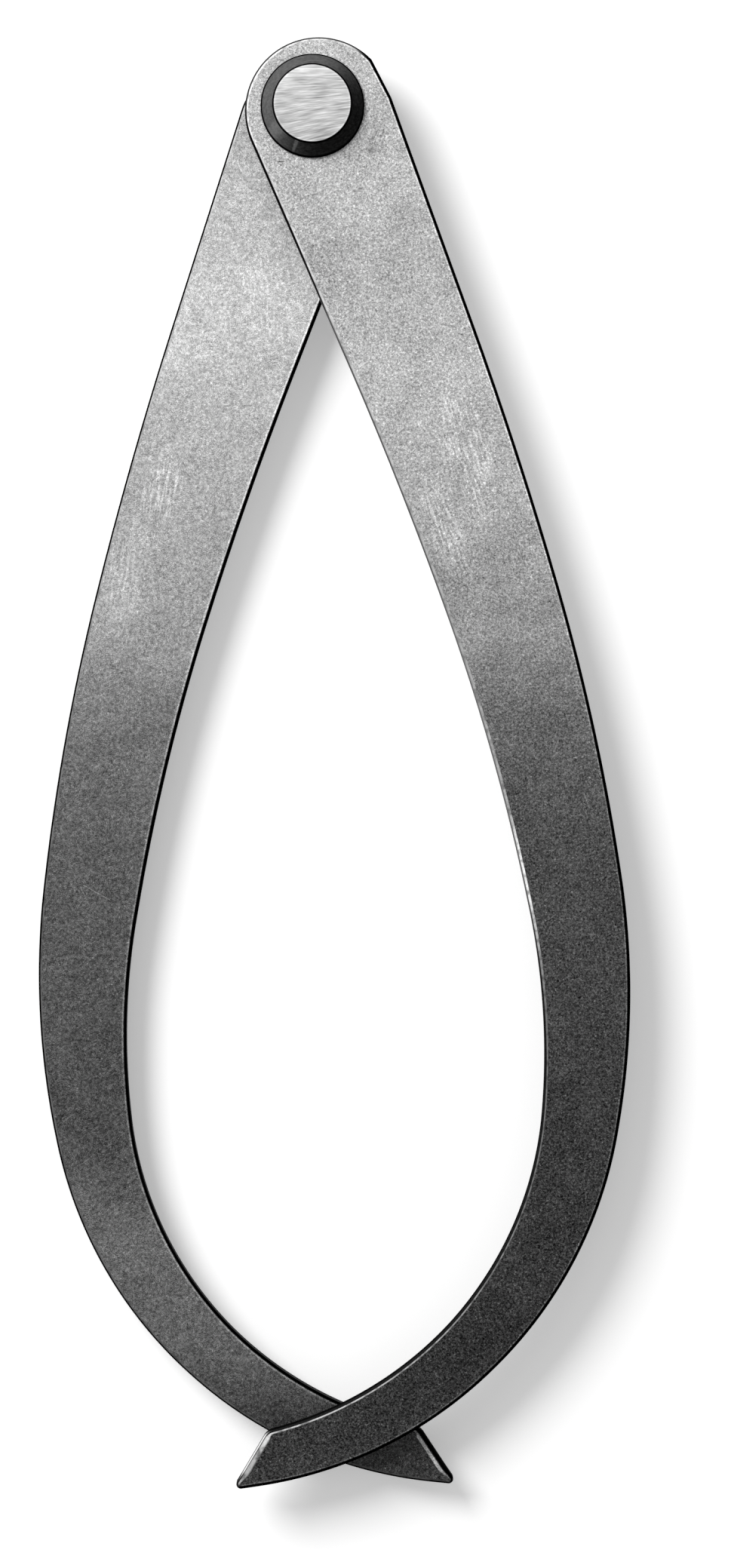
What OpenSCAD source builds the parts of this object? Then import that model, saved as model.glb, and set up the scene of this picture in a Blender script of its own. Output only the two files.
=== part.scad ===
// Outside caliper with a firm joint.
// Two flat bowed legs are riveted together at their eyes and lie with their toes crossed.
// The joint's axis is Z, the ground face of the rear washer is at Z 0, and the legs run towards -Y.

/* [Legs] */
// Thickness of the flat steel that the legs are cut from
leg_t = 2.4; // [1.8:0.1:3.4]
// Radius of the round eye at the joint
eye_r = 8; // [7.6:0.05:9]
// Lean of the neck from the straight line of the leg, in degrees
neck_lean = 25.2; // [22:0.1:28]
// Straight neck, from the middle of the eye
neck_len = 27.3; // [22:0.1:32]
// Radius of the shoulder, the first and gentlest bend
shoulder_r = 445; // [380:5:650]
// Degrees that the shoulder turns through
shoulder_turn = 3.8; // [2.8:0.1:4.8]
// Radius of the flank below the shoulder
flank_r = 236; // [185:1:285]
// Degrees that the flank turns through
flank_turn = 7.95; // [6:0.05:10]
// Radius of the belly, where the pair is widest
belly_r = 81.5; // [67:0.5:97]
// Degrees that the belly turns through
belly_turn = 17.6; // [14:0.1:22]
// Radius of the hook that turns in to the toe
hook_r = 42.8; // [38:0.1:48]
// Degrees that the hook turns through
hook_turn = 73.2; // [64:0.1:78]

/* [Leg widths] */
// Width at the end of the neck
neck_w = 14.2; // [12:0.1:15.2]
// Width at the end of the flank
flank_w = 10.45; // [9:0.05:12]
// Width at the end of the belly
belly_w = 8.4; // [7.4:0.1:9.6]
// Width half way round the hook
hook_w = 6.8; // [6:0.1:8]
// Width at the toe
toe_w = 5.6; // [4.8:0.1:6.6]

/* [Edges and toe] */
// Rounding of the long edges
edge_r = 0.4; // [0.2:0.05:0.5]
// Rounding of the measuring edge across the toe
toe_edge_r = 0.8; // [0.4:0.05:0.85]
// Slant of the toe's end from square, in degrees
toe_slant = 40; // [28:0.5:42]
// Corner radius of the toe's point
point_r = 0.5; // [0.5:0.05:0.9]
// Corner radius of the toe's inner corner
heel_r = 1.5; // [1.2:0.1:2]
// How much longer the rear leg is filed than the front leg
rear_toe_extra = 0.35; // [0:0.05:1]

/* [Joint] */
// Diameter of the rivet's shank
shank_d = 6; // [5:0.1:6.6]
// Running gap round the shank in each leg's bore
shank_gap = 0.05; // [0.02:0.01:0.1]
// Diameter of the rivet's head and of the rear washer, against the legs
boss_d = 11.25; // [10:0.05:12]
// Diameter of the ground face on the head and on the rear washer
boss_face_d = 8.3; // [7.8:0.05:9]
// Height of the head and of the rear washer
boss_h = 2.2; // [1.6:0.1:2.8]
// Upright rim below the bevel of the head and of the rear washer
boss_rim = 0.3; // [0.1:0.05:0.6]
// Diameter of the riveted tail at the washer's ground face
tail_d = 7.4; // [6.8:0.05:7.6]
// Depth of the countersink that the tail fills
tail_h = 1.3; // [0.8:0.1:1.4]
// Thickness of the friction washer between the legs
friction_t = 0.25; // [0.15:0.05:0.5]
// Diameter of the friction washer
friction_d = 12.6; // [10:0.1:13]
// Gap round the shank in the friction washer
friction_gap = 0.1; // [0.05:0.05:0.3]

/* [Bores and pose] */
// Place of the front leg's bore across its eye, outward
front_bore_x = -0.7; // [-0.9:0.05:0.9]
// Place of the front leg's bore along its eye, towards the top
front_bore_y = 0.45; // [-0.9:0.05:0.9]
// Place of the rear leg's bore across its eye, outward
rear_bore_x = 0.2; // [-0.9:0.05:0.9]
// Place of the rear leg's bore along its eye, towards the top
rear_bore_y = 0.75; // [-0.9:0.05:0.9]
// Turn of the front leg past the straight position, which crosses the toes, in degrees
front_cross = 4.65; // [0:0.05:9]
// Turn of the rear leg past the straight position, in degrees
rear_cross = 4.7; // [0:0.05:9]

/* [Hidden] */

// Turn of the outline per point on the bends, on the eye and at the toe's corners, in degrees
bend_step = 2;
eye_step = 6;
corner_step = 20;
// Facets across each rounded edge
edge_steps = 3;
// Sides of the joint's round pieces
round_fn = 96;
// Overrun of cutting tools
over = 1;

// Degrees on the eye's rim, counted from the outer flank's side of its widest line: the rounded top,
// the start and end of the short flat above the outer flank, and the leaving of the inner flank past 180
eye_top = 90;
flat_start = 22.5;
flat_end = -11;
inner_leave = 2.5;
// Length over which the toe's edge rounding grows out of the flank's
toe_blend = 1.5;

// Heights of the stack, from the rear washer's ground face up
rear_leg_z = boss_h;
friction_z = rear_leg_z + leg_t;
front_leg_z = friction_z + friction_t;
head_z = front_leg_z + leg_t;
bore_d = shank_d + 2 * shank_gap;

// Length along a bend of radius r through some degrees
function bend_len(r, turn) = r * turn * PI / 180;

// Stretches of the middle line from the eye to the toe: length, radius and degrees, or none where straight
STRETCHES = [
    [neck_len, 0, 0],
    [bend_len(shoulder_r, shoulder_turn), shoulder_r, shoulder_turn],
    [bend_len(flank_r, flank_turn), flank_r, flank_turn],
    [bend_len(belly_r, belly_turn), belly_r, belly_turn],
    [bend_len(hook_r, hook_turn), hook_r, hook_turn]
];
// Half widths against the distance along the middle line
flank_end = STRETCHES[0][0] + STRETCHES[1][0] + STRETCHES[2][0];
belly_end = flank_end + STRETCHES[3][0];
hook_end = belly_end + STRETCHES[4][0];
HALF_WIDTHS = [
    [neck_len, neck_w / 2],
    [flank_end, flank_w / 2],
    [belly_end, belly_w / 2],
    [(belly_end + hook_end) / 2, hook_w / 2],
    [hook_end, toe_w / 2]
];
// How far the toe's point runs ahead of the middle line's end, and its inner corner behind it
toe_lead = toe_w / 2 * tan(toe_slant);

// Degrees that a stretch turns through
function turn_of(len, r) = r == 0 ? 0 : len / r * 180 / PI;

// The middle line after a stretch, from a state of x, y, heading off straight down and distance gone
function advance(at, len, r) =
    let (heading = at[2] - turn_of(len, r))
    r == 0
        ? [at[0] + len * sin(at[2]), at[1] - len * cos(at[2]), heading, at[3] + len]
        : [
            at[0] + r * (cos(heading) - cos(at[2])),
            at[1] + r * (sin(heading) - sin(at[2])),
            heading,
            at[3] + len
        ];

// States at the start of every stretch
function stretch_starts(i = 0, at = [0, 0, neck_lean, 0]) =
    i == len(STRETCHES)
        ? []
        : concat([at], stretch_starts(i + 1, advance(at, STRETCHES[i][0], STRETCHES[i][1])));

// States along the middle line for one side, whose last stretch is longer or shorter by extra
function middle_line(extra) =
    let (starts = stretch_starts())
    [
        for (i = [0:len(STRETCHES) - 1])
            let (
                r = STRETCHES[i][1],
                stretch = STRETCHES[i][0] + (i == len(STRETCHES) - 1 ? extra : 0),
                steps = max(1, ceil(STRETCHES[i][2] / bend_step))
            )
            for (j = [1:steps]) advance(starts[i], stretch * j / steps, r)
    ];

// One flank from the neck to the toe, on the outer (1) or the inner (-1) side
function flank(side, toe_extra) = [
    for (at = middle_line(side * toe_lead + toe_extra))
        let (half = side * lookup(at[3], HALF_WIDTHS))
        [at[0] + half * cos(at[2]), at[1] + half * sin(at[2])]
];

// A point on the eye's rim
function eye_point(angle) = [eye_r * cos(neck_lean + angle), eye_r * sin(neck_lean + angle)];

// Part of the eye's rim between two angles
function eye_arc(from, to, steps) = [for (i = [0:steps]) eye_point(from + (to - from) * i / steps)];

function unit(v) = v / norm(v);

// A rounded corner at b between a and c
function rounded(a, b, c, r) =
    let (
        u = unit(a - b),
        v = unit(c - b),
        half = acos(u * v) / 2,
        middle = b + unit(u + v) * r / sin(half),
        from = b + u * r / tan(half) - middle,
        swing = 180 - 2 * half,
        steps = ceil(swing / corner_step)
    )
    [
        for (i = [0:steps])
            let (w = swing * i / steps)
            middle + [from[0] * cos(w) - from[1] * sin(w), from[0] * sin(w) + from[1] * cos(w)]
    ];

// The list without its last point
function but_last(points) = [for (i = [0:len(points) - 2]) points[i]];

// A point carries the rounding of its edge as a third number
function with_edge(points, r) = [for (p = points) [p[0], p[1], r]];

// Points across the toe's end, between the inner corner and the point
function toe_end(from, to) =
    let (
        gap = norm(to - from),
        blend = min(toe_blend, gap / 3),
        mid = from + (to - from) * (gap - blend) / gap
    )
    [[from[0], from[1], toe_edge_r], [mid[0], mid[1], toe_edge_r]];

// The leg's outline, counterclockwise from the top of the eye down the inner flank and up the outer one
function leg_outline(toe_extra) =
    let (
        outer = flank(1, toe_extra),
        inner = flank(-1, toe_extra),
        tip = outer[len(outer) - 1],
        heel = inner[len(inner) - 1],
        before_tip = outer[len(outer) - 2],
        before_heel = inner[len(inner) - 2],
        heel_corner = rounded(before_heel, heel, tip, heel_r),
        point_corner = rounded(heel, tip, before_tip, point_r),
        outer_up = [for (i = [len(outer) - 2:-1:0]) outer[i]],
        eye_steps = ceil((180 + inner_leave - eye_top) / eye_step)
    )
    concat(
        with_edge(eye_arc(eye_top, 180 + inner_leave, eye_steps), edge_r),
        with_edge(but_last(inner), edge_r),
        with_edge(but_last(heel_corner), (edge_r + toe_edge_r) / 2),
        toe_end(heel_corner[len(heel_corner) - 1], point_corner[0]),
        with_edge(point_corner, edge_r),
        with_edge(outer_up, edge_r),
        with_edge([eye_point(flat_end)], edge_r),
        with_edge(but_last(eye_arc(flat_start, eye_top, eye_steps - 1)), edge_r)
    );

// Inward direction at a point of a counterclockwise outline, lengthened at a corner
function inward(before, here, after) =
    let (
        u = unit(here - before),
        v = unit(after - here),
        n = [-u[1], u[0]],
        m = [-v[1], v[0]]
    )
    (n + m) / (1 + n * m);

// A flat plate of thickness t over an outline, with every edge rounded by its point's third number
module rounded_plate(outline, t) {
    count = len(outline);
    flat = [for (p = outline) [p[0], p[1]]];
    inner_way = [
        for (i = [0:count - 1]) inward(flat[(i + count - 1) % count], flat[i], flat[(i + 1) % count])
    ];
    // Each ring is a turn of the edge rounding, lower face first
    rings = concat(
        [for (k = [edge_steps:-1:0]) [90 * k / edge_steps, -1]],
        [for (k = [0:edge_steps]) [90 * k / edge_steps, 1]]
    );
    points = [
        for (ring = rings)
            for (i = [0:count - 1])
                let (
                    r = outline[i][2],
                    p = flat[i] + inner_way[i] * r * (1 - cos(ring[0])),
                    z = t / 2 + ring[1] * (t / 2 - r + r * sin(ring[0]))
                )
                [p[0], p[1], z]
    ];
    sides = [
        for (k = [0:len(rings) - 2])
            for (i = [0:count - 1])
                let (
                    a = k * count + i,
                    b = k * count + (i + 1) % count,
                    c = b + count,
                    d = a + count
                )
                each [[a, d, c], [a, c, b]]
    ];
    // The flat faces are laced across from one flank to the other
    half = floor((count - 1) / 2);
    lower_face = [
        for (i = [0:half - 1])
            let (left = i + 1, right = count - 1 - i)
                each [[i, left, right], if (left < right - 1) [left, right - 1, right]]
    ];
    top = (len(rings) - 1) * count;
    upper_face = [for (f = lower_face) [f[2] + top, f[1] + top, f[0] + top]];
    polyhedron(points, concat(sides, lower_face, upper_face), convexity = 6);
}

// A leg with its bore on the joint's axis, its outer flank towards +X and its lower face at Z 0
module leg(bore_x, bore_y, toe_extra) {
    difference() {
        translate([-bore_x, -bore_y, 0])
            rounded_plate(leg_outline(toe_extra), leg_t);
        translate([0, 0, -over])
            cylinder(h = leg_t + 2 * over, d = bore_d, $fn = round_fn);
    }
}

module front_leg() {
    color("silver")
        translate([0, 0, front_leg_z])
            rotate(-front_cross)
                leg(front_bore_x, front_bore_y, 0);
}

module rear_leg() {
    color("darkgray")
        translate([0, 0, rear_leg_z])
            rotate(rear_cross)
                mirror([1, 0, 0])
                    leg(rear_bore_x, rear_bore_y, rear_toe_extra);
}

// Head, shank and riveted tail in one turned profile
module joint_rivet() {
    color("gray")
        rotate_extrude($fn = round_fn)
            polygon([
                [0, 0],
                [tail_d / 2, 0],
                [shank_d / 2, tail_h],
                [shank_d / 2, head_z],
                [boss_d / 2, head_z],
                [boss_d / 2, head_z + boss_rim],
                [boss_face_d / 2, head_z + boss_h],
                [0, head_z + boss_h]
            ]);
}

// Washer under the rear leg, bevelled like the head and countersunk for the tail
module rear_washer() {
    color("dimgray")
        rotate_extrude($fn = round_fn)
            polygon([
                [tail_d / 2, 0],
                [boss_face_d / 2, 0],
                [boss_d / 2, boss_h - boss_rim],
                [boss_d / 2, boss_h],
                [shank_d / 2, boss_h],
                [shank_d / 2, tail_h]
            ]);
}

module friction_washer() {
    color("goldenrod")
        translate([0, 0, friction_z])
            difference() {
                cylinder(h = friction_t, d = friction_d, $fn = round_fn);
                translate([0, 0, -over])
                    cylinder(h = friction_t + 2 * over, d = shank_d + 2 * friction_gap, $fn = round_fn);
            }
}

front_leg();
rear_leg();
joint_rivet();
rear_washer();
friction_washer();
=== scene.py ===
"""Outside caliper with a firm joint, lying on a white table and seen from straight above."""
import math

import bmesh
import bpy
from mathutils import Matrix, Vector


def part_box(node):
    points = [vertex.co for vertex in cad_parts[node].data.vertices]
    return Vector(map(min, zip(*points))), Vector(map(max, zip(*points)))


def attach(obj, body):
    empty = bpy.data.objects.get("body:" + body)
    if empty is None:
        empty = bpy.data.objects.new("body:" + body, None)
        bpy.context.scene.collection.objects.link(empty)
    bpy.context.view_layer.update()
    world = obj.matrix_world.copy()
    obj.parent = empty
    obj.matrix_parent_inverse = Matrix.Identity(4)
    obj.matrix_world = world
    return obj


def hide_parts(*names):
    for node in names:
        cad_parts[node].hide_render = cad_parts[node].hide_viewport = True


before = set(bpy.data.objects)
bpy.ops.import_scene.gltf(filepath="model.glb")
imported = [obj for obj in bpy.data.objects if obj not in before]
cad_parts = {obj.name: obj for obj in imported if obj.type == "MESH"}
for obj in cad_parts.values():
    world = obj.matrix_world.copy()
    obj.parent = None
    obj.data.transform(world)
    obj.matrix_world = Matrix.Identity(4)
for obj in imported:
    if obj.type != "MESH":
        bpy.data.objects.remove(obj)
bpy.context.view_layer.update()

MM = 0.001

# The middle line of a leg, in millimetres and degrees: a straight neck and four bends with shared tangents
NECK_LEAN = 25.2
NECK_LENGTH = 27.3
SHOULDER = (445, 3.8)
FLANK = (236, 7.95)
BELLY = (81.5, 17.6)
HOOK = (42.8, 73.2)
BEND_STEP = 0.5

# Widths of a leg at the ends of the neck, flank and belly, half way round the hook, and at the toe
NECK_WIDTH = 14.2
FLANK_WIDTH = 10.45
BELLY_WIDTH = 8.4
HOOK_WIDTH = 6.8
TOE_WIDTH = 5.6

# The eye, the short flat above its outer flank, and where the inner flank leaves its rim, in degrees.
# The outer flank's mark, which picks its painted highlight or painted shade, fades over a few points of the
# rim past the flat.
EYE_RADIUS = 8
EYE_STEP = 2
EYE_TOP = 90
FLAT_START = 22.5
FLAT_END = -11
INNER_LEAVE = 2.5
FADE_POINTS = 10
BORE_RADIUS = 3.05
BORE_STEPS = 96

# Roundings of the long edges and of the measuring edge across the toe, the length over which one becomes
# the other, and the rim of the flat face beside the rounding, which narrows at the toe's point
EDGE_ROUNDING = 0.4
TOE_ROUNDING = 0.8
TOE_BLEND = 1.5
EDGE_SEGMENTS = 9
RIM_WIDTH = 0.2
POINT_RIM_WIDTH = 0.06

# The toe's slanted end and its two corners, and how far the flanks' points keep away from them
TOE_SLANT = 40
POINT_RADIUS = 0.5
HEEL_RADIUS = 1.5
CORNER_STEP = 6
CORNER_CLEARANCE = 0.1
END_STEPS = 12

# Place of each bore in its eye, turn of each leg on the joint, and the rear leg's longer toe
FRONT_BORE = (-0.7, 0.45)
REAR_BORE = (0.2, 0.75)
FRONT_TURN = -4.65
REAR_TURN = 4.7
REAR_TOE_EXTRA = 0.35

# The rivet's head, its riveted tail and the washer that the tail holds, with the roundings of their corners
HEAD_RADIUS = 5.625
FACE_RADIUS = 4.15
HEAD_RIM = 0.3
SHANK_RADIUS = 3.0
TAIL_RADIUS = 3.7
TAIL_DEPTH = 1.3
TURNED_STEPS = 192
TURNED_SEGMENTS = 5
ON_AXIS = 0.000001
CRISP_CORNER = 0.04
SOFT_CORNER = 0.1
RIM_CORNER = 0.12

# Power that turns a tone, as the eye sees it, into reflectance, and a lift for the legs' rough finish
EYE_TO_LIGHT = 2.2
STEEL_LEVEL = 1.08

# How far the legs and the turned pieces mirror like bare metal. The rest is matt.
METAL_SHARE = 0.35
GROUND_METAL_SHARE = 0.3

# Noises in the legs' steel. A cell is the size of a noise's patches in millimetres, a stretch says how much
# longer than wide they are, and a range from which to which noise value something grows. Each noise is cut
# through the same field in a layer of its own.
LAYER_GAP = 7
DRIFT_CELL = 14
DRIFT_REACH = 8
CLOUD_CELL = 4.5
MOTTLE_CELL = 1.1
GRIT_CELL = 0.27
GRAIN_CELL = 0.11
DRAWN_CELL = 0.24
DRAWN_STRETCH = 14
SPECK_CELL = 0.2
SPECK_RANGE = (0.71, 0.8)
FIBRE_CELL = 0.16
FIBRE_STRETCH = 6
FIBRE_RANGE = (0.74, 0.82)
FIBRE_TURNS = (35, 118)
PIT_CELL = 0.3
PIT_RANGE = (0.36, 0.24)
STROKE_CELL = 0.3
STROKE_STRETCH = 8
STROKE_RANGE = (0.46, 0.64)
# The next noises break up the painted edge highlights: their patchiness and their streaks
HIGHLIGHT_PATCH_CELL = 0.9
HIGHLIGHT_PATCH_RANGE = (0.25, 0.6)
HIGHLIGHT_PATCH_SHARES = (0.75, 1.1)
HIGHLIGHT_STREAK_CELL = 0.25

# Strengths of these noises in tone. A pair is the strength on black and on white steel.
CLOUD_STRENGTH = (0.33, 1.43)
MOTTLE_STRENGTH = (0.04, 0.14)
SPECKLE_STRENGTH = (0.57, 1.17)
GRAIN_STRENGTH = 0.65
DRAWN_STRENGTH = 0.05
SPECK_LIFT = 0.14
FIBRE_LIFT = 0.07
HIGHLIGHT_STREAK_STRENGTH = 0.3
BLACKEST = 0.01

# The share of a scratch's half width that has its full strength, and how fast it thins past its ends
SCRATCH_CORE = 0.4
SCRATCH_TAPER = 0.2

# Edges of a leg, where the turn from the face to the wall counts from 0 to 1: how much later painted shade
# starts on the toe's wide rounding, the painted highlight on the arris of the shaded edge, the widths of the
# fades, and what a wall painted dark gives back
TOE_LAG = 0.12
TOE_TURN = 0.2
ARRIS_HIGHLIGHT = (0.11, 0.23)
TOE_ARRIS_HIGHLIGHT = 0.24
LIT_EDGE_FADE = 0.09
DARK_FADE = 0.09
WALL_FADE = 0.1
WALL_SPECKLE = 0.15
WALL_LIFT = 0.015
WALL_BARE = 0.8

# Roughness of the finishes, and the depth of their relief in millimetres
LEG_ROUGHNESS = 0.58
LEG_RELIEF = 0.012
GROUND_ROUGHNESS = 0.54
BEVEL_ROUGHNESS = 0.6
BOSS_RELIEF = 0.01
BRASS_ROUGHNESS = 0.35
BRASS_RELIEF = 0.006
BRASS_TINT = (0.62, 0.45, 0.2)

# Noises on the turned pieces: the fine and the broad grinding strokes and their slow sweep, then the turning
# rings and the mottle of the bevel. FACE_LINE is half the width of the line between face and bevel.
FINE_CELL = 0.15
FINE_STRETCH = 14
BROAD_CELL = 0.4
BROAD_STRETCH = 10
SWEEP_CELL = 2.5
RING_CELL = 0.1
RING_CROWDING = 4
BEVEL_MOTTLE_CELL = 0.35
FACE_LINE = 0.03

# Tones of the turned pieces: their ground face, their bevel, and how much painted shade darkens it towards
# one side and along its outlines
GROUND_TONE = 0.74
BEVEL_TONE = 0.35
BEVEL_SIDE_SHADE = 0.21
OUTLINE_SHADE = 0.9

# The table, in metres, and its own glow, which grows from one distance in millimetres to another
TABLE_RADIUS = 6
TABLE_SIDES = 64
TABLE_PAINT = 0.9
GLOW_REACH = (140, 800)
GLOW_LEVELS = (0.28, 0.75)

# The surround's share of light on the caliper, and the lamp, in metres, watts and degrees, with its aim
SOFT_LIGHT = 0.38
LAMP_SIZE = 0.52
LAMP_ENERGY = 8.9
LAMP_ELEVATION = 43.5
LAMP_AZIMUTH = 135
LAMP_REACH = 1.0
LAMP_AIM = (0, -0.07, 0)


def bend(at, length, radius):
    """The middle line's point, heading and distance after a stretch; radius 0 is straight."""
    x, y, heading, gone = at
    if radius == 0:
        return (x + length * math.sin(heading), y - length * math.cos(heading), heading, gone + length)
    turned = heading - length / radius
    return (
        x + radius * (math.cos(turned) - math.cos(heading)),
        y + radius * (math.sin(turned) - math.sin(heading)),
        turned,
        gone + length,
    )


def arc_length(radius, turn):
    """Length of a bend."""
    return radius * math.radians(turn)


def half_width(gone):
    """Half the leg's width at a distance along its middle line."""
    ends = [NECK_LENGTH]
    ends.append(ends[0] + arc_length(*SHOULDER) + arc_length(*FLANK))
    ends.append(ends[1] + arc_length(*BELLY))
    ends.append(ends[2] + arc_length(*HOOK) / 2)
    ends.append(ends[3] + arc_length(*HOOK) / 2)
    widths = [NECK_WIDTH, FLANK_WIDTH, BELLY_WIDTH, HOOK_WIDTH, TOE_WIDTH]
    if gone <= ends[0]:
        return widths[0] / 2
    for start, end, wide, narrow in zip(ends, ends[1:], widths, widths[1:]):
        if gone <= end:
            return (wide + (narrow - wide) * (gone - start) / (end - start)) / 2
    return widths[-1] / 2


def flank_line(side, toe_extra):
    """One flank from the neck to the toe, on the outer (1) or the inner (-1) side."""
    toe_lead = TOE_WIDTH / 2 * math.tan(math.radians(TOE_SLANT))
    at = bend((0, 0, math.radians(NECK_LEAN), 0), NECK_LENGTH, 0)
    states = [at]
    for radius, turn in (SHOULDER, FLANK, BELLY, HOOK):
        length = arc_length(radius, turn)
        if (radius, turn) == HOOK:
            length += side * toe_lead + toe_extra
        steps = max(1, math.ceil(turn / BEND_STEP))
        states += [bend(at, length * j / steps, radius) for j in range(1, steps + 1)]
        at = states[-1]
    line = []
    for x, y, heading, gone in states:
        half = side * half_width(gone)
        line.append(Vector((x + half * math.cos(heading), y + half * math.sin(heading))))
    return line


def corner_cut(before, corner, after, radius):
    """Length that a rounded corner takes off each of its two lines."""
    return radius / math.tan((before - corner).angle(after - corner) / 2)


def rounded_corner(before, corner, after, radius):
    """Points of an arc that rounds a corner between two straight lines."""
    u = (before - corner).normalized()
    v = (after - corner).normalized()
    half = u.angle(v) / 2
    centre = corner + (u + v).normalized() * radius / math.sin(half)
    start = corner + u * radius / math.tan(half) - centre
    swing = math.pi - 2 * half
    steps = math.ceil(math.degrees(swing) / CORNER_STEP)
    return [centre + Matrix.Rotation(swing * i / steps, 2) @ start for i in range(steps + 1)]


def eye_point(angle):
    """A point on the eye's rim, at an angle counted from the outer flank's side."""
    a = math.radians(NECK_LEAN + angle)
    return Vector((EYE_RADIUS * math.cos(a), EYE_RADIUS * math.sin(a)))


def eye_arc(start, end):
    """Points along the eye's rim from one angle to another."""
    steps = math.ceil(abs(end - start) / EYE_STEP)
    return [eye_point(start + (end - start) * i / steps) for i in range(steps + 1)]


def ease(t):
    """A share from 0 to 1 that starts and ends gently."""
    return t * t * (3 - 2 * t)


def toe_rounding(share):
    """Rounding between that of the long edges (share 0) and that of the measuring edge (share 1)."""
    return EDGE_ROUNDING + (TOE_ROUNDING - EDGE_ROUNDING) * share


def rim_width(share):
    """Width of the rim between that at the toe's point (share 0) and the full one (share 1)."""
    return POINT_RIM_WIDTH + (RIM_WIDTH - POINT_RIM_WIDTH) * share


def leg_outline(toe_extra):
    """The leg's outline from the top of the eye down the inner flank and back up the outer one.

    Each entry is a point, the rounding of its edge, 1 on the outer flank or else 0, and its rim's width.
    """
    outer = flank_line(1, toe_extra)
    inner = flank_line(-1, toe_extra)
    heel_corner = (inner[-2], inner[-1], outer[-1], HEEL_RADIUS)
    point_corner = (inner[-1], outer[-1], outer[-2], POINT_RADIUS)
    heel = rounded_corner(*heel_corner)
    point = rounded_corner(*point_corner)
    heel_cut = corner_cut(*heel_corner) + CORNER_CLEARANCE
    point_cut = corner_cut(*point_corner) + CORNER_CLEARANCE
    inner_side = eye_arc(EYE_TOP, 180 + INNER_LEAVE)
    inner_side += [p for p in inner[:-1] if (p - inner[-1]).length > heel_cut]
    outline = [(p, EDGE_ROUNDING, 0, RIM_WIDTH) for p in inner_side]
    for i, p in enumerate(heel):
        outline.append((p, toe_rounding(ease(i / (len(heel) - 1))), 0, RIM_WIDTH))
    across = point[0] - heel[-1]
    for i in range(1, END_STEPS):
        left = across.length * (1 - i / END_STEPS)
        kept = ease(min(1, left / TOE_BLEND))
        outline.append((heel[-1] + across * i / END_STEPS, toe_rounding(kept), 0, rim_width(kept)))
    outline += [(p, EDGE_ROUNDING, i / (len(point) - 1), POINT_RIM_WIDTH) for i, p in enumerate(point)]
    for p in reversed(outer[:-1]):
        gone = (p - outer[-1]).length - point_cut
        if gone > 0:
            outline.append((p, EDGE_ROUNDING, 1, rim_width(min(1, gone / TOE_BLEND))))
    for angle in (FLAT_END, FLAT_START):
        outline.append((eye_point(angle), EDGE_ROUNDING, 1, RIM_WIDTH))
    for i, p in enumerate(eye_arc(FLAT_START + 1, EYE_TOP)[:-1]):
        outline.append((p, EDGE_ROUNDING, 1 - ease(min(1, i / FADE_POINTS)), RIM_WIDTH))
    return outline


def inward_ways(points):
    """At each point of a counterclockwise outline, the way in, lengthened at a corner, and the way out."""
    ways = []
    for i, here in enumerate(points):
        u = (here - points[i - 1]).normalized()
        v = (points[(i + 1) % len(points)] - here).normalized()
        n = Vector((-u.y, u.x))
        m = Vector((-v.y, v.x))
        ways.append(((n + m) / (1 + n.dot(m)), -(n + m).normalized()))
    return ways


def mesh_piece(name, points, faces, normals, attributes=None):
    """A closed mesh from points in millimetres, with a normal for every corner of every face."""
    mesh = bpy.data.meshes.new(name)
    mesh.from_pydata([Vector(p) * MM for p in points], [], faces)
    mesh.shade_smooth()
    for key, values in (attributes or {}).items():
        mesh.attributes.new(key, "FLOAT", "POINT").data.foreach_set("value", values)
    mesh.normals_split_custom_set([n for face in normals for n in face])
    mesh.validate(verbose=False, clean_customdata=False)
    piece = bpy.data.objects.new(name, mesh)
    bpy.context.scene.collection.objects.link(piece)
    return piece


def fill_face(rim, bore):
    """Triangles between the outline of a flat face and its bore, as indices into rim + bore."""
    work = bmesh.new()
    made = [work.verts.new((p.x, p.y, 0)) for p in rim + bore]
    loops = (made[: len(rim)], made[len(rim):])
    edges = [work.edges.new((loop[i - 1], loop[i])) for loop in loops for i in range(len(loop))]
    number = {vert: i for i, vert in enumerate(made)}
    bmesh.ops.triangle_fill(work, use_beauty=True, edges=edges, normal=(0, 0, 1))
    triangles = []
    for face in work.faces:
        corners = [number[vert] for vert in face.verts]
        a, b, c = (made[i].co for i in corners)
        if (b - a).cross(c - a).z < 0:
            corners.reverse()
        triangles.append(corners)
    work.free()
    return triangles


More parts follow.
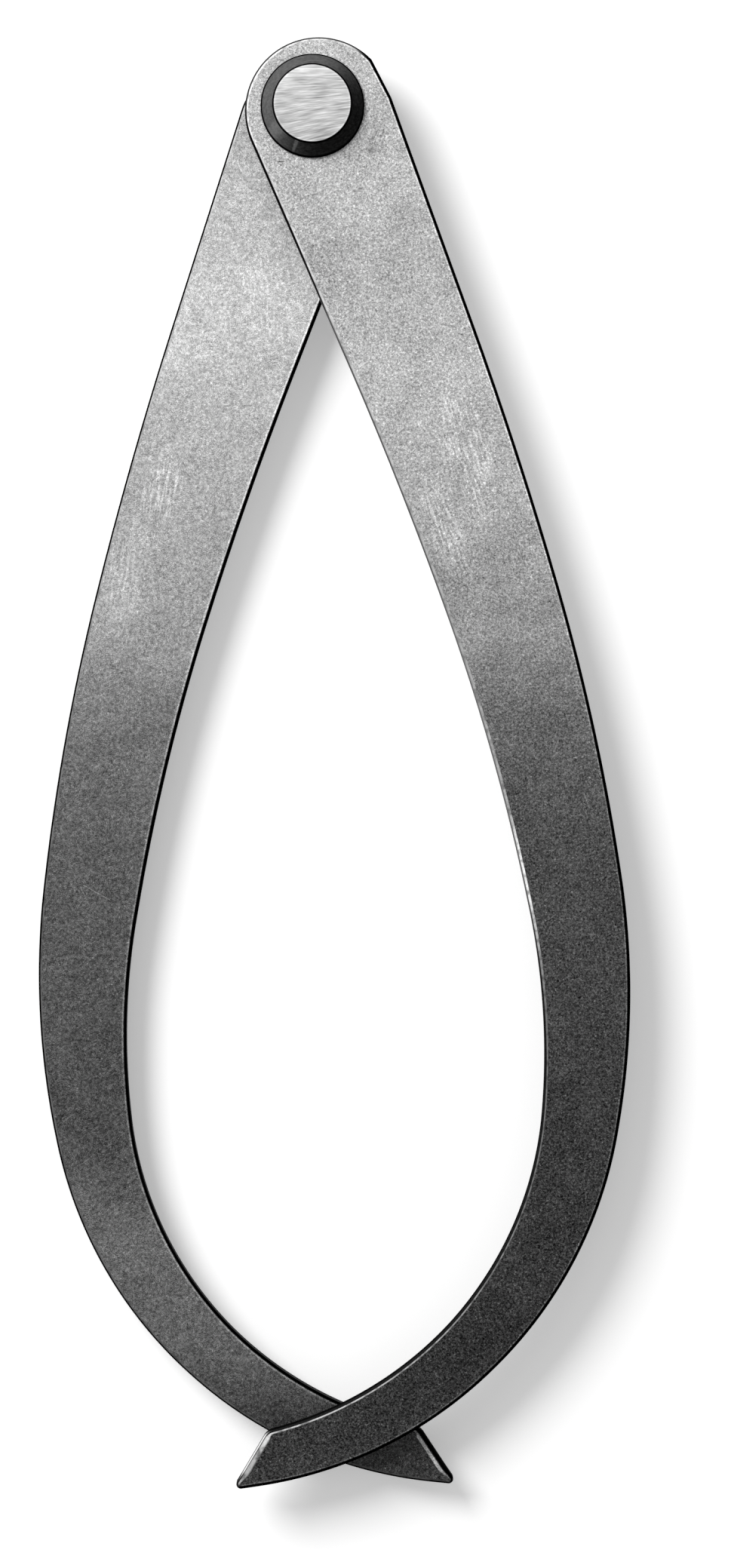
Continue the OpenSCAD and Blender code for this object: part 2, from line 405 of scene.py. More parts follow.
def leg_mesh(name, node, bore_at, turn, toe_extra, mirrored, bright_side):
    """A flat leg with rounded edges. Its heights come from the CAD node that it replaces.

    Its points carry four marks for the finish: how far they have turned from the face (0) to the wall (1),
    the rim beside the rounding, the flank that faces the lamp and gets painted highlights (bright_side: 1 is
    the outer one), and the toe.
    """
    low, high = (corner.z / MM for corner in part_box(node))
    outline = leg_outline(toe_extra)
    flat = [entry[0] for entry in outline]
    ways = inward_ways(flat)
    count = len(flat)
    place = Matrix.Rotation(math.radians(turn), 3, "Z")
    if mirrored:
        place = place @ Matrix.Diagonal((-1, 1, 1))
    shift = Vector((bore_at[0], bore_at[1], 0))
    points, point_normals = [], []
    marks = {"edge": [], "rim": [], "bright": [], "toe": []}

    def add(p, z, normal, *values):
        points.append(place @ (Vector((p.x, p.y, z)) - shift))
        point_normals.append(place @ normal)
        for mark, value in zip(marks.values(), values):
            mark.append(value)

    # Rings from the lower face's rim, round the edges and up to the upper face's rim
    turns = [90 * k / EDGE_SEGMENTS for k in range(EDGE_SEGMENTS + 1)]
    rings = [(90, -1, True)]
    rings += [(a, -1, False) for a in reversed(turns)]
    rings += [(a, 1, False) for a in turns]
    rings += [(90, 1, True)]
    for angle, face, inside in rings:
        c = math.cos(math.radians(angle))
        s = math.sin(math.radians(angle))
        for (p, rounding, side, rim), (inward, outward) in zip(outline, ways):
            z = (low + rounding - rounding * s) if face < 0 else (high - rounding + rounding * s)
            normal = Vector((outward.x * c, outward.y * c, face * s))
            inset = rounding * (1 - c) + (rim if inside else 0)
            toe = (rounding - EDGE_ROUNDING) / (TOE_ROUNDING - EDGE_ROUNDING)
            bright = 1 - abs(side - bright_side)
            add(p + inward * inset, z, normal, 1 - angle / 90, 0 if inside else 1, bright, toe)

    faces, normals = [], []

    def add_face(corners, its_normals):
        if mirrored:
            corners = corners[::-1]
            its_normals = its_normals[::-1]
        faces.append(corners)
        normals.append(its_normals)

    for k in range(len(rings) - 1):
        for i in range(count):
            j = (i + 1) % count
            corners = [k * count + i, k * count + j, (k + 1) * count + j, (k + 1) * count + i]
            add_face(corners, [point_normals[c] for c in corners])

    # The bore's two circles, then the flat faces around it and its wall
    bore_start = len(points)
    around_bore = (2 * math.pi * i / BORE_STEPS for i in range(BORE_STEPS))
    circle = [Vector((math.cos(a), math.sin(a))) for a in around_bore]
    bore = [p * BORE_RADIUS + shift.xy for p in circle]
    for z, face in ((low, -1), (high, 1)):
        for p in bore:
            add(p, z, Vector((0, 0, face)), 0, 0, 0, 0)
    around = [p + inward * (r + rim) for (p, r, _, rim), (inward, _) in zip(outline, ways)]
    triangles = fill_face(around, bore)
    for ring, circle_start, face in ((0, bore_start, -1), (len(rings) - 1, bore_start + BORE_STEPS, 1)):
        for triangle in triangles:
            corners = [ring * count + i if i < count else circle_start + i - count for i in triangle]
            if face < 0:
                corners.reverse()
            add_face(corners, [place @ Vector((0, 0, face))] * 3)
    for i in range(BORE_STEPS):
        j = (i + 1) % BORE_STEPS
        corners = [bore_start + i, bore_start + BORE_STEPS + i, bore_start + BORE_STEPS + j, bore_start + j]
        add_face(corners, [place @ Vector((-circle[k].x, -circle[k].y, 0)) for k in (i, i, j, j)])
    return mesh_piece(name, points, faces, normals, marks)


def rounded_profile(corners):
    """A turned profile from corners of (radius, height, rounding): points and normals along it."""
    profile = []
    last = len(corners) - 1
    for i, (r, z, rounding) in enumerate(corners):
        here = Vector((r, z))
        before = Vector(corners[i - 1][:2]) if i else None
        after = Vector(corners[i + 1][:2]) if i < last else None
        way_in = (here - before).normalized() if before else None
        way_out = (after - here).normalized() if after else None
        if not before or not after:
            way = way_out or way_in
            profile.append((here, Vector((way.y, -way.x))))
            continue
        half_turn = way_in.angle_signed(way_out) / 2
        cut = rounding * abs(math.tan(half_turn))
        for k in range(TURNED_SEGMENTS + 1):
            way = Matrix.Rotation(-2 * half_turn * k / TURNED_SEGMENTS, 2) @ way_in
            normal = Vector((way.y, -way.x))
            side = -1 if half_turn < 0 else 1
            first_normal = Vector((way_in.y, -way_in.x))
            centre = here - way_in * cut + first_normal * (rounding * side)
            profile.append((centre - normal * (rounding * side), normal))
    return profile


def turned_mesh(name, corners):
    """A piece turned about the joint's axis, from the bottom of its axis or bore round to the top."""
    profile = rounded_profile(corners)
    points, vertex_normals, rings = [], [], []
    for p, n in profile:
        steps = 1 if p.x < ON_AXIS else TURNED_STEPS
        rings.append((len(points), steps))
        for i in range(steps):
            a = 2 * math.pi * i / TURNED_STEPS
            points.append((p.x * math.cos(a), p.x * math.sin(a), p.y))
            vertex_normals.append(Vector((n.x * math.cos(a), n.x * math.sin(a), n.y)))
    closed = rings if profile[0][0].x < ON_AXIS else rings + rings[:1]
    faces, normals = [], []
    for (start, steps), (next_start, next_steps) in zip(closed, closed[1:]):
        for i in range(TURNED_STEPS):
            j = (i + 1) % TURNED_STEPS
            here = [start + i % steps, start + j % steps]
            there = [next_start + j % next_steps, next_start + i % next_steps]
            face = list(dict.fromkeys(here + there))
            faces.append(face)
            normals.append([vertex_normals[c] for c in face])
    return mesh_piece(name, points, faces, normals)


def camera():
    """The camera hangs straight above, as the photograph was taken."""
    # Pixel of the joint's axis in the plane of the front leg's face, and pixels per metre there
    image_size = (969, 2079)
    joint_pixel = (414.21, 140.55)
    pixels_per_metre = 12240
    roll = math.radians(1.08)
    distance = 0.49
    sensor = 36
    face_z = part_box("front_leg")[1].z
    right = Vector((math.cos(roll), -math.sin(roll), 0))
    up = Vector((math.sin(roll), math.cos(roll), 0))
    across = (image_size[0] / 2 - joint_pixel[0]) / pixels_per_metre
    along = (joint_pixel[1] - image_size[1] / 2) / pixels_per_metre
    made = bpy.data.objects.new("camera", bpy.data.cameras.new("camera"))
    made.location = right * across + up * along + Vector((0, 0, face_z + distance))
    made.rotation_euler = (0, 0, -roll)
    made.data.lens = sensor * distance * pixels_per_metre / image_size[1]
    made.data.sensor_width = sensor
    made.data.clip_start = 0.01
    bpy.context.scene.collection.objects.link(made)
    bpy.context.scene.camera = made


class Number:
    """A number socket that Python's operators work on."""

    def __init__(self, nodes, socket):
        self.nodes = nodes
        self.socket = socket

    def maths(self, operation, *others, first=None):
        values = [self if first is None else first, *others]
        node = self.nodes.node("ShaderNodeMath", {"operation": operation}, dict(enumerate(values)))
        return Number(self.nodes, node.outputs[0])

    def __add__(self, other):
        return self.maths("ADD", other)

    __radd__ = __add__

    def __mul__(self, other):
        return self.maths("MULTIPLY", other)

    __rmul__ = __mul__

    def __sub__(self, other):
        return self.maths("SUBTRACT", other)

    def __rsub__(self, other):
        return self.maths("SUBTRACT", self, first=other)

    def __truediv__(self, other):
        return self.maths("DIVIDE", other)

    def __pow__(self, other):
        return self.maths("POWER", other)

    def above(self, other):
        return self.maths("MAXIMUM", other)

    def below(self, other):
        return self.maths("MINIMUM", other)

    def size(self):
        return self.maths("ABSOLUTE")

    def root(self):
        return self.maths("SQRT")

    def ramp(self, start, end, low=0, high=1):
        """Eases from low to high as the number goes from start to end."""
        settings = {"interpolation_type": "SMOOTHSTEP"}
        inputs = {0: self, 1: start, 2: end, 3: low, 4: high}
        return Number(self.nodes, self.nodes.node("ShaderNodeMapRange", settings, inputs).outputs[0])

    def blend(self, other, share):
        """This number where the share is 0, the other one where it is 1."""
        return self * (1 - share) + other * share


class Nodes:
    """The shader nodes of a material or of the world."""

    def __init__(self, tree):
        self.tree = tree
        tree.nodes.clear()

    def node(self, kind, settings=None, inputs=None):
        made = self.tree.nodes.new(kind)
        for key, value in (settings or {}).items():
            if key == "stops":
                self.set_stops(made.color_ramp, value)
            else:
                setattr(made, key, value)
        for key, value in (inputs or {}).items():
            if isinstance(value, Number):
                value = value.socket
            if isinstance(value, bpy.types.NodeSocket):
                self.tree.links.new(value, made.inputs[key])
            else:
                made.inputs[key].default_value = value
        return made

    @staticmethod
    def set_stops(color_ramp, stops):
        color_ramp.interpolation = "LINEAR"
        while len(color_ramp.elements) < len(stops):
            color_ramp.elements.new(1)
        for element, (position, tone) in zip(color_ramp.elements, stops):
            element.position = position
            element.color = (tone, tone, tone, 1)

    def seen(self):
        """1 for rays that the camera sees, straight, mirrored or through glass, and 0 for spread light."""
        path = self.node("ShaderNodeLightPath")
        seen = Number(self, path.outputs["Is Camera Ray"]).above(Number(self, path.outputs["Is Glossy Ray"]))
        return seen.above(Number(self, path.outputs["Is Transmission Ray"]))


class Finish(Nodes):
    """A material in the making, with the place on its piece in millimetres."""

    def __init__(self, name):
        self.material = bpy.data.materials.new(name)
        self.material.use_nodes = True
        super().__init__(self.material.node_tree)
        place = self.node("ShaderNodeSeparateXYZ", {}, {0: self.node("ShaderNodeTexCoord").outputs["Object"]})
        self.x, self.y, self.z = (Number(self, out) / MM for out in place.outputs)

    def attribute(self, name):
        made = self.node("ShaderNodeAttribute", {"attribute_name": name})
        return Number(self, made.outputs["Fac"])

    def tones(self, where, stops):
        """Tone against a number, from stops of (number, tone) in rising order."""
        start, end = stops[0][0], stops[-1][0]
        share = (where - start) / (end - start)
        spread = [((at - start) / (end - start), tone) for at, tone in stops]
        ramp = self.node("ShaderNodeValToRGB", {"stops": spread}, {0: share})
        return Number(self, ramp.outputs[0])

    def noise(self, size, detail=2, along=None, stretch=1, seed=0, at=None):
        """Noise from 0 to 1 with cells of a size in millimetres, longer by stretch in the direction along."""
        x, y = at or (self.x, self.y)
        if along is not None:
            c, s = math.cos(math.radians(along)), math.sin(math.radians(along))
            x, y = (x * c + y * s) / stretch, y * c - x * s
        where = self.node("ShaderNodeCombineXYZ", {}, {0: x, 1: y, 2: self.z + seed * LAYER_GAP})
        inputs = {"Vector": where.outputs[0], "Scale": 1 / size, "Detail": detail}
        return Number(self, self.node("ShaderNodeTexNoise", {}, inputs).outputs["Fac"])

    def patch(self, at, size, turn):
        """A soft patch: 1 in its middle, 0 past its half length and half width."""
        c, s = math.cos(math.radians(turn)), math.sin(math.radians(turn))
        dx, dy = self.x - at[0], self.y - at[1]
        along = (dx * c + dy * s) / size[0]
        across = (dy * c - dx * s) / size[1]
        return (along * along + across * across).ramp(1, 0)

    def scratch(self, start, end, width):
        """A thin straight line from one place to another, tapered past its ends."""
        length = math.dist(start, end)
        c, s = (end[0] - start[0]) / length, (end[1] - start[1]) / length
        dx, dy = self.x - start[0], self.y - start[1]
        along = dx * c + dy * s
        off_end = (0 - along).above(along - length).above(0)
        across = (dy * c - dx * s).size()
        return (across + off_end * SCRATCH_TAPER).ramp(width, width * SCRATCH_CORE)

    def shader(self, tone, roughness, metallic, bump, depth, tint=(1, 1, 1)):
        """Ends the material with one shader. The bump's depth is in millimetres."""
        colour = self.node("ShaderNodeCombineColor", {}, {i: tone * share for i, share in enumerate(tint)})
        raised = self.node("ShaderNodeBump", {}, {"Strength": 1, "Distance": depth * MM, "Height": bump})
        inputs = {
            "Specular IOR Level": 0.0,
            "Base Color": colour.outputs[0],
            "Roughness": roughness,
            "Metallic": metallic,
            "Normal": raised.outputs[0],
        }
        surface = self.node("ShaderNodeBsdfPrincipled", {}, inputs)
        self.node("ShaderNodeOutputMaterial", {}, {0: surface.outputs[0]})
        return self.material


def strength_at(tone, strengths):
    """Strength of an unevenness at a tone, from its strengths on black and on white steel."""
    on_black, on_white = strengths
    return tone * (on_white - on_black) + on_black


def reflectance(tone, level):
    """Turns a tone, as the eye sees it, into what the shader takes."""
    return tone.above(BLACKEST) ** EYE_TO_LIGHT * level


def face_tone(f, seed, look, speckle):
    """Tone of a leg's faces: its run up the leg with painted light and shade, clouds, specks, fibres, pits,
    patches of painted reflection and a smudge, scratches.
    """
    drift = f.noise(DRIFT_CELL, 2, seed=seed + 1) - 0.5
    # Painted light and shade: the faces run from light near the joint to dark towards the toes
    tone = f.tones(f.y + drift * DRIFT_REACH, look["tones"])
    cloud = f.noise(CLOUD_CELL, 3, seed=seed + 2) - 0.5
    mottle = f.noise(MOTTLE_CELL, 3, seed=seed + 3) - 0.5
    specks = f.noise(SPECK_CELL, 0, seed=seed + 10).ramp(*SPECK_RANGE) * SPECK_LIFT
    for turn in FIBRE_TURNS:
        fibres = f.noise(FIBRE_CELL, 0, along=turn, stretch=FIBRE_STRETCH, seed=seed + turn)
        specks = specks + fibres.ramp(*FIBRE_RANGE) * FIBRE_LIFT
    clouds = cloud * strength_at(tone, CLOUD_STRENGTH) * look["cloud"]
    mottles = mottle * strength_at(tone, MOTTLE_STRENGTH)
    speckles = speckle * strength_at(tone, SPECKLE_STRENGTH)
    tone = tone + clouds + mottles + speckles + specks
    pits = f.noise(PIT_CELL, 2, seed=seed + 7).ramp(*PIT_RANGE)
    tone = tone - pits * look["pits"]
    # Lighter patches of painted reflection with streaks, and one darker smudge
    for at, size, turn, lift, strokes in look["smudge_and_sheen_patches"]:
        streaks = f.noise(STROKE_CELL, 1, along=turn, stretch=STROKE_STRETCH, seed=seed + 8)
        tone = tone + f.patch(at, size, turn) * (streaks.ramp(*STROKE_RANGE) * strokes + lift)
    for start, end, width, strength in look["scratches"]:
        tone = tone + f.scratch(start, end, width) * strength
    return tone


def edged_tone(f, seed, look, tone, speckle):
    """Adds the edges, with their painted highlights and painted shade, to the tone of the faces, and tells
    how dark an edge is and how bare its metal.
    """
    edge = f.attribute("edge")
    rim = f.attribute("rim")
    bright = f.attribute("bright")
    toe = f.attribute("toe")
    # Patchiness of the painted edge highlights
    highlight_patchiness = f.noise(HIGHLIGHT_PATCH_CELL, 2, seed=seed + 9).ramp(*HIGHLIGHT_PATCH_RANGE, *HIGHLIGHT_PATCH_SHARES)
    # A painted highlight: a light line along the arris where the face ends on the edge painted dark
    over = edge - toe * TOE_LAG
    dark_from = look["dark_from"]
    line = rim.ramp(0.3, 0.9) * over.ramp(dark_from - 0.02, dark_from - 0.06) * (1 - bright)
    tone = tone + line * highlight_patchiness * (strength_at(tone, ARRIS_HIGHLIGHT) + toe * TOE_ARRIS_HIGHLIGHT)
    # Painted highlight: the edge that faces the lamp keeps tones of its own over its rounding, down to its
    # wall
    band = bright * edge.ramp(0, toe * TOE_LAG + LIT_EDGE_FADE) * highlight_patchiness.below(1)
    highlight_streaks = f.noise(HIGHLIGHT_STREAK_CELL, 2, seed=seed + 11) - 0.5
    tone = tone + band * (f.tones(f.y, look["lit_edge_highlight"]) * (highlight_patchiness + highlight_streaks * HIGHLIGHT_STREAK_STRENGTH) - tone)
    turned_in = f.tones(f.y, look["turned_in"]) + toe * TOE_TURN
    # Painted shade on the edge away from the lamp past dark_from; on the lit edge the rounding past turned_in
    # takes the wall tones
    dark_edge = over.ramp(dark_from, dark_from + DARK_FADE) * (1 - bright)
    dark = dark_edge + (edge - turned_in).ramp(0, WALL_FADE) * bright
    # A painted highlight across the toe's wide rounding, past a thin dark line
    light = toe * edge.ramp(0.58, 0.66) * edge.ramp(0.98, 0.88) * look["toe"]
    upright = edge.ramp(0.9, 1)
    lit_side_wall = f.tones(f.y, look["wall"]).blend(f.tones(f.y, look["bright_wall"]), upright)
    wall = lit_side_wall * bright + upright * (1 - bright) * f.tones(f.y, look["dark_wall"])
    tone = tone.blend(wall + light + speckle * WALL_SPECKLE + WALL_LIFT, dark)
    # Of the places painted dark only the upright outer wall mirrors like bare metal
    outer = bright if look["outer_is_bright"] else 1 - bright
    bare = 1 - dark * (1 - upright * outer * WALL_BARE)
    return tone, dark, bare


def leg_finish(name, seed, look):
    """Satin steel with a fine grain, painted light near the joint and painted shade towards the toes, painted
    reflections and a smudge in places, dark walls, painted shade on the edge away from the lamp and painted
    highlights on the edge that faces it.

    Tones are worked out as the eye sees them, from 0 to 1, and turned into reflectance at the end.
    """
    f = Finish(name)
    grit = f.noise(GRIT_CELL, 2, seed=seed + 4) - 0.5
    grain = f.noise(GRAIN_CELL, 1, seed=seed + 5) - 0.5
    drawn = f.noise(DRAWN_CELL, 2, along=look["drawn"], stretch=DRAWN_STRETCH, seed=seed + 6) - 0.5
    speckle = grit * look["grit"] + grain * GRAIN_STRENGTH + drawn * DRAWN_STRENGTH
    tone = face_tone(f, seed, look, speckle)
    tone, dark, bare = edged_tone(f, seed, look, tone, speckle)
    roughness = LEG_ROUGHNESS + grit * 0.12 - dark * 0.05
    relief = grain + grit * 0.8
    return f.shader(reflectance(tone, STEEL_LEVEL), roughness, bare * METAL_SHARE, relief, LEG_RELIEF)


def ground_tone(f, radius, fine, bow):
    """Tone of a turned piece's flat face, ground with long strokes up to a painted highlight along its edge.
    """
    broad = f.noise(BROAD_CELL, 2, along=0, stretch=BROAD_STRETCH, seed=4, at=(f.x, bow)) - 0.5
    sweep = f.noise(SWEEP_CELL, 1, seed=7) - 0.5
    # Painted highlight: a light line just inside the face's edge
    lip = radius.ramp(FACE_RADIUS - 0.2, FACE_RADIUS - 0.12)
    lip = lip * radius.ramp(FACE_RADIUS - FACE_LINE, FACE_RADIUS - 0.08)
    return fine * 0.62 + broad * 0.3 + sweep * 0.12 + f.y * 0.01 + GROUND_TONE + lip * 0.05


def bevel_tone(f, radius, fine, rings):
    """Tone of a turned piece's bevel, with turning rings, two painted highlights, painted shade towards one
    side and painted dark outlines.
    """
    mottle = f.noise(BEVEL_MOTTLE_CELL, 3, seed=6) - 0.5
    # Painted shade darkens the bevel towards the lower right, away from the lamp
    side = (f.x * 0.75 - f.y * 0.66) / radius.above(0.01)
    tone = BEVEL_TONE - side.ramp(-0.5, 0.9) * BEVEL_SIDE_SHADE + rings * 0.08 + mottle * 0.16 + fine * 0.12
    # Painted highlights: a radial streak and a lighter place on the bevel's lower left
    tone = tone + f.patch((-1.85, -4.2), (1.3, 0.28), 66) * 0.16
    tone = tone + f.patch((-3.9, -2.7), (1.5, 1.2), 45) * 0.08
    # Painted shade: dark lines along the bevel's top edge and at its foot
    inner_line = radius.ramp(FACE_RADIUS + 0.22, FACE_RADIUS + 0.14)
    outer_line = radius.ramp(HEAD_RADIUS - 0.2, HEAD_RADIUS - 0.12)
    return tone * (1 - (inner_line + outer_line).below(1) * OUTLINE_SHADE)


def boss_finish(name, level):
    """A turned piece: ground on its flat face with long strokes, left dark on its bevel, with painted light
    and shade on both.
    """
    f = Finish(name)
    radius = (f.x * f.x + f.y * f.y).root()
    # The strokes are nearly straight, and fan out a little towards one side
    bow = f.y - f.x * (0.1 - f.y * 0.035)
    fine = f.noise(FINE_CELL, 2, along=0, stretch=FINE_STRETCH, seed=3, at=(f.x, bow)) - 0.5
    rings = f.noise(RING_CELL, 2, seed=5, at=(radius * RING_CROWDING, radius * 0)) - 0.5
    on_bevel = radius.ramp(FACE_RADIUS - FACE_LINE, FACE_RADIUS + FACE_LINE)
    tone = ground_tone(f, radius, fine, bow).blend(bevel_tone(f, radius, fine, rings), on_bevel)
    roughness = GROUND_ROUGHNESS * (1 - on_bevel) + on_bevel * BEVEL_ROUGHNESS
    metallic = (1 - on_bevel * 0.8) * GROUND_METAL_SHARE
    relief = fine.blend(rings * 0.6, on_bevel)
    return f.shader(reflectance(tone, level), roughness, metallic, relief, BOSS_RELIEF)


def brass_finish():
    """Rolled brass, a little tarnished."""
    f = Finish("rolled_brass")
    rolled = f.noise(0.3, 2, along=30, stretch=8) - 0.5
    tarnish = f.noise(2.5, 3, seed=2).ramp(0.35, 0.7)
    tone = (rolled * 0.3 + 1) * (1 - tarnish * 0.35)
    return f.shader(tone, BRASS_ROUGHNESS + tarnish * 0.2, 1.0, rolled, BRASS_RELIEF, BRASS_TINT)


def white_table():
    """A round white table top."""
    mesh = bpy.data.meshes.new("table_top")
    work = bmesh.new()
    bmesh.ops.create_circle(work, cap_ends=True, radius=TABLE_RADIUS, segments=TABLE_SIDES)
    work.to_mesh(mesh)
    work.free()
    table_top = bpy.data.objects.new("table_top", mesh)
    bpy.context.scene.collection.objects.link(table_top)
    white = Finish("white_table")
    paint = white.node("ShaderNodeBsdfDiffuse", {}, {0: (TABLE_PAINT, TABLE_PAINT, TABLE_PAINT, 1)})
    # The lamp's light falls off away from the caliper, so the far table glows white by itself
    away = (white.x * white.x + white.y * white.y).root()
    level = away.ramp(*GLOW_REACH, *GLOW_LEVELS)
    tint = white.node("ShaderNodeCombineColor", {}, {0: level, 1: level, 2: level})
    glow = white.node("ShaderNodeEmission", {}, {0: tint.outputs[0], 1: white.seen()})
    both = white.node("ShaderNodeAddShader", {}, {0: paint.outputs[0], 1: glow.outputs[0]})
    white.node("ShaderNodeOutputMaterial", {}, {0: both.outputs[0]})
    table_top.data.materials.append(white.material)


def white_surround():
    """A surround that looks white and lights the caliper softly."""
    world = bpy.data.worlds.new("white_surround")
    bpy.context.scene.world = world
    world.use_nodes = True
    nodes = Nodes(world.node_tree)
    strength = nodes.seen() * (1 - SOFT_LIGHT) + SOFT_LIGHT
    light = nodes.node("ShaderNodeBackground", {}, {0: (1, 1, 1, 1), 1: strength})
    nodes.node("ShaderNodeOutputWorld", {}, {0: light.outputs[0]})


def key_lamp():
    """One soft round lamp from the upper left."""
    lamp = bpy.data.objects.new("key", bpy.data.lights.new("key", "AREA"))
    lamp.data.shape = "DISK"
    lamp.data.size = LAMP_SIZE
    lamp.data.energy = LAMP_ENERGY
    elevation = math.radians(LAMP_ELEVATION)
    azimuth = math.radians(LAMP_AZIMUTH)
    way = Vector((
        math.cos(elevation) * math.cos(azimuth),
        math.cos(elevation) * math.sin(azimuth),
        math.sin(elevation),
    ))
    lamp.location = Vector(LAMP_AIM) + way * LAMP_REACH
    lamp.rotation_mode = "QUATERNION"
    lamp.rotation_quaternion = way.to_track_quat("Z", "Y")
    bpy.context.scene.collection.objects.link(lamp)


# The looks of the two legs, with tones as the eye sees them. The lists that run up a leg have pairs of a
# height in millimetres, 0 at the joint, and a value there.
# tones: the faces, with painted light near the joint and painted shade towards the toes.
# lit_edge_highlight: painted highlights, and on the front leg a painted glint, on the edge that faces the
# lamp.
# turned_in: how far they reach round that edge.
# wall, bright_wall: the rest of that edge's rounding and its upright wall; on the front leg the rounding is
# black where it lies over the rear leg, a painted shadow. dark_wall: the other upright wall, darker on the
# rear leg near the joint, a painted shade. outer_is_bright: 1 if the outer flank faces the lamp. dark_from:
# where painted shade
# starts on the other edge. toe: the painted highlight across the toe. drawn: direction of the rolling marks.
# cloud, grit, pits: strengths.
# smudge_and_sheen_patches: middle, half length and half width, direction, lift, strength of the strokes; the
# lighter patches are painted reflections and the darker one is a smudge.
# scratches: start, end, half width, strength.
FRONT_LOOK = {
    "tones": (
        (-152, 0.25), (-145, 0.225), (-136, 0.197), (-112, 0.228), (-92, 0.271), (-84, 0.278), (-75, 0.328),
        (-65, 0.385), (-59, 0.51), (-50, 0.58), (-42, 0.63), (-30, 0.655), (-18, 0.63), (-12, 0.65),
        (8, 0.675),
    ),
    "lit_edge_highlight": (
        (-150, 0.5), (-147, 0.53), (-144.5, 0.66), (-141, 0.62), (-135, 0.53), (-128, 0.43), (-118, 0.38),
        (-98, 0.37), (-93, 0.5), (-89, 0.66), (-86, 0.8), (-81, 0.85), (-77, 0.58), (-60, 0.55), (-45, 0.6),
        (-22, 0.66), (-8, 0.72), (0, 0.76), (8, 0.74),
    ),
    "turned_in": ((-152, 0.34), (-140, 0.25), (-104, 0.25), (-92, 0.46), (-24, 0.46), (-14, 0.3), (8, 0.3)),
    "wall": (
        (-150, 0.12), (-97, 0.1), (-92, 0.12), (-84, 0.4), (-60, 0.42), (-50, 0.36), (-23, 0.34),
        (-20, 0.08), (-7, 0.03), (-2, 0.03), (1, 0.2), (8, 0.2),
    ),
    "bright_wall": ((-150, 0.06), (-95, 0.06), (-86, 0.3), (-25, 0.36), (-10, 0.2), (8, 0.3)),
    "dark_wall": ((-152, 0.48), (8, 0.55)),
    "outer_is_bright": 0,
    "dark_from": 0.06,
    "toe": 0.72,
    "drawn": 70,
    "cloud": 0.16,
    "grit": 0.55,
    "pits": 0.19,
    "smudge_and_sheen_patches": (
        ((16.0, -38), (10, 3.6), 105, -0.01, 0.13),
        ((13.4, -46), (7, 2.6), 110, 0, 0.13),
        ((19.5, -50), (6, 3.5), 100, -0.02, 0.0),
        ((7.0, -3.9), (2.4, 1.3), 70, -0.11, 0.1),
    ),
    "scratches": (
        ((-3.78, -5.97), (-3.35, -5.98), 0.07, -0.5),
        ((26.0, -66.0), (26.9, -70.5), 0.05, -0.12),
        ((28.0, -75.0), (28.5, -76.5), 0.05, 0.12),
    ),
}
REAR_LOOK = {
    "tones": (
        (-152, 0.21), (-144, 0.235), (-139, 0.308), (-135, 0.357), (-124, 0.379), (-119.5, 0.365),
        (-115.5, 0.31), (-110, 0.283), (-100, 0.307), (-84, 0.331), (-79, 0.333), (-75, 0.373), (-68, 0.404),
        (-63, 0.467), (-59, 0.545), (-52, 0.58), (-42, 0.605), (-32, 0.645), (-22, 0.715), (-18, 0.715),
        (-12, 0.67), (8, 0.68),
    ),
    "lit_edge_highlight": (
        (-152, 0.24), (-140, 0.32), (-128, 0.36), (-95, 0.32), (-70, 0.38), (-55, 0.5), (-20, 0.6), (8, 0.6),
    ),
    "turned_in": ((-152, 0.28), (8, 0.28)),
    "wall": ((-152, 0.03), (8, 0.03)),
    "bright_wall": ((-152, 0.48), (8, 0.55)),
    "dark_wall": ((-152, 0.25), (-97, 0.25), (-88, 0.1), (8, 0.1)),
    "outer_is_bright": 1,
    "dark_from": 0.15,
    "toe": 0.06,
    "drawn": 75,
    "cloud": 0.12,
    "grit": 0.55,
    "pits": 0.06,
    "smudge_and_sheen_patches": (
        ((-17.2, -41.0), (4.6, 3.2), 81, 0.01, 0.13),
        ((-21.4, -49.8), (8, 3.2), 78, 0.03, 0.08),
        ((-17.6, -26), (6, 3.4), 72, 0.03, 0.06),
        ((-6.3, -20.5), (5, 2.4), 88, 0, 0.05),
    ),
    "scratches": (
        ((-26.5, -84), (-23.8, -85.6), 0.06, 0.14),
        ((-27.6, -82.6), (-25.6, -87), 0.05, 0.1),
    ),
}


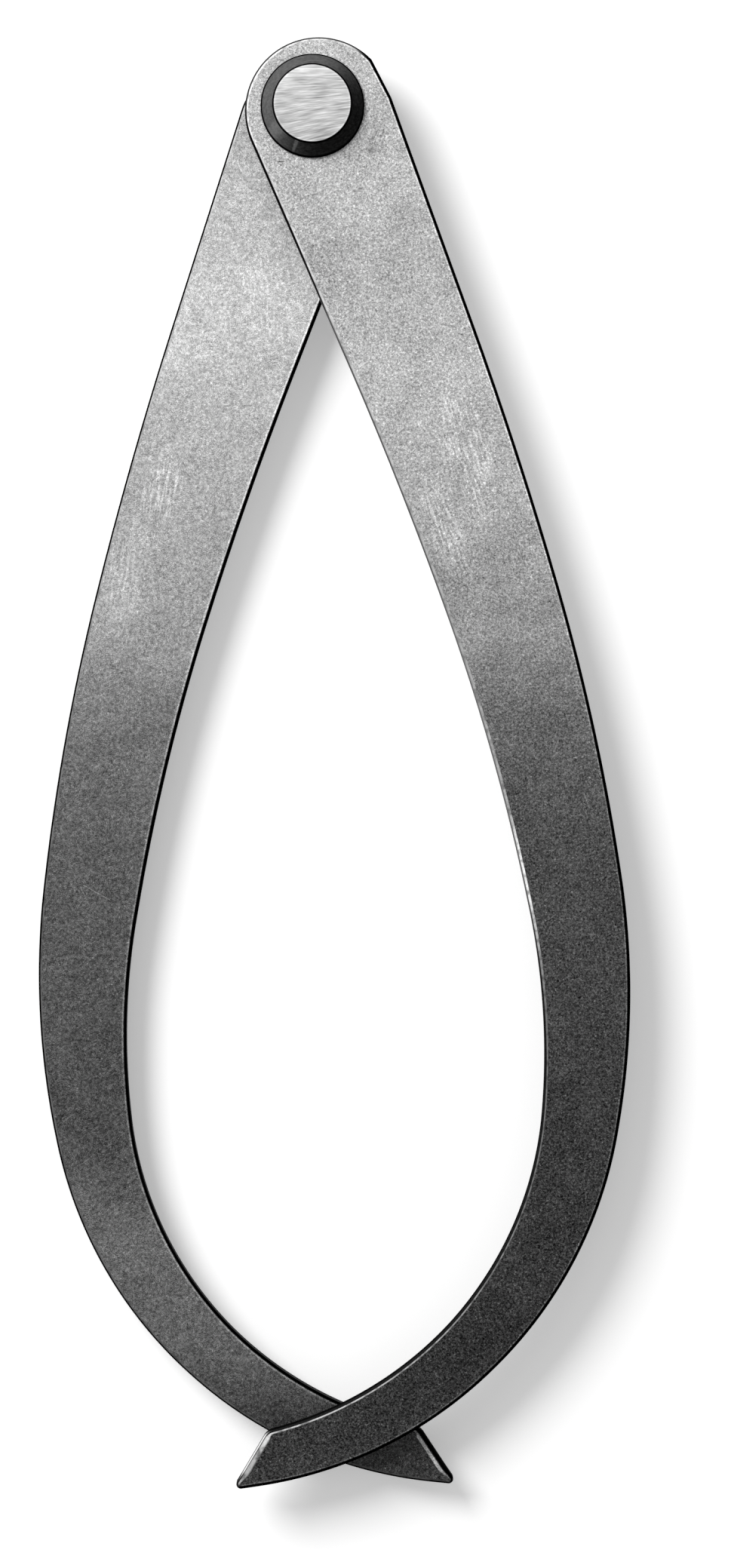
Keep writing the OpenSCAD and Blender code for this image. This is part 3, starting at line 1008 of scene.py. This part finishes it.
def dress(piece, node, body, material):
    """Gives a piece its finish and lets it stand for a CAD node on its body."""
    piece.data.materials.append(material)
    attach(piece, body)
    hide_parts(node)


def legs():
    """The two legs, one pattern with the rear one turned over."""
    front = leg_mesh(
        "leg_front", "front_leg", FRONT_BORE, FRONT_TURN, 0, False, FRONT_LOOK["outer_is_bright"]
    )
    rear = leg_mesh(
        "leg_rear", "rear_leg", REAR_BORE, REAR_TURN, REAR_TOE_EXTRA, True, REAR_LOOK["outer_is_bright"]
    )
    dress(front, "front_leg", "front_side", leg_finish("satin_steel_front", 10, FRONT_LOOK))
    dress(rear, "rear_leg", "rear_side", leg_finish("satin_steel_rear", 30, REAR_LOOK))


def joint():
    """The rivet, the washer that its tail is riveted into, and the thin washer between the legs."""
    head_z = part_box("front_leg")[1].z / MM
    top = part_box("joint_rivet")[1].z / MM
    rivet = turned_mesh("rivet", [
        (0, 0, 0),
        (TAIL_RADIUS, 0, CRISP_CORNER),
        (SHANK_RADIUS, TAIL_DEPTH, SOFT_CORNER),
        (SHANK_RADIUS, head_z, SOFT_CORNER),
        (HEAD_RADIUS, head_z, CRISP_CORNER),
        (HEAD_RADIUS, head_z + HEAD_RIM, RIM_CORNER),
        (FACE_RADIUS, top, SOFT_CORNER),
        (0, top, 0),
    ])
    dress(rivet, "joint_rivet", "rear_side", boss_finish("ground_head", 1.0))
    washer_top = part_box("rear_washer")[1].z / MM
    washer = turned_mesh("washer_rear", [
        (TAIL_RADIUS, 0, 0),
        (FACE_RADIUS, 0, SOFT_CORNER),
        (HEAD_RADIUS, washer_top - HEAD_RIM, RIM_CORNER),
        (HEAD_RADIUS, washer_top, CRISP_CORNER),
        (SHANK_RADIUS, washer_top, CRISP_CORNER),
        (SHANK_RADIUS, TAIL_DEPTH, SOFT_CORNER),
    ])
    dress(washer, "rear_washer", "rear_side", boss_finish("ground_washer", 0.95))
    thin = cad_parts["friction_washer"]
    thin.data.materials.clear()
    thin.data.materials.append(brass_finish())


def main():
    camera()
    white_table()
    white_surround()
    key_lamp()
    legs()
    joint()
    bpy.context.scene.view_settings.view_transform = "Standard"


main()
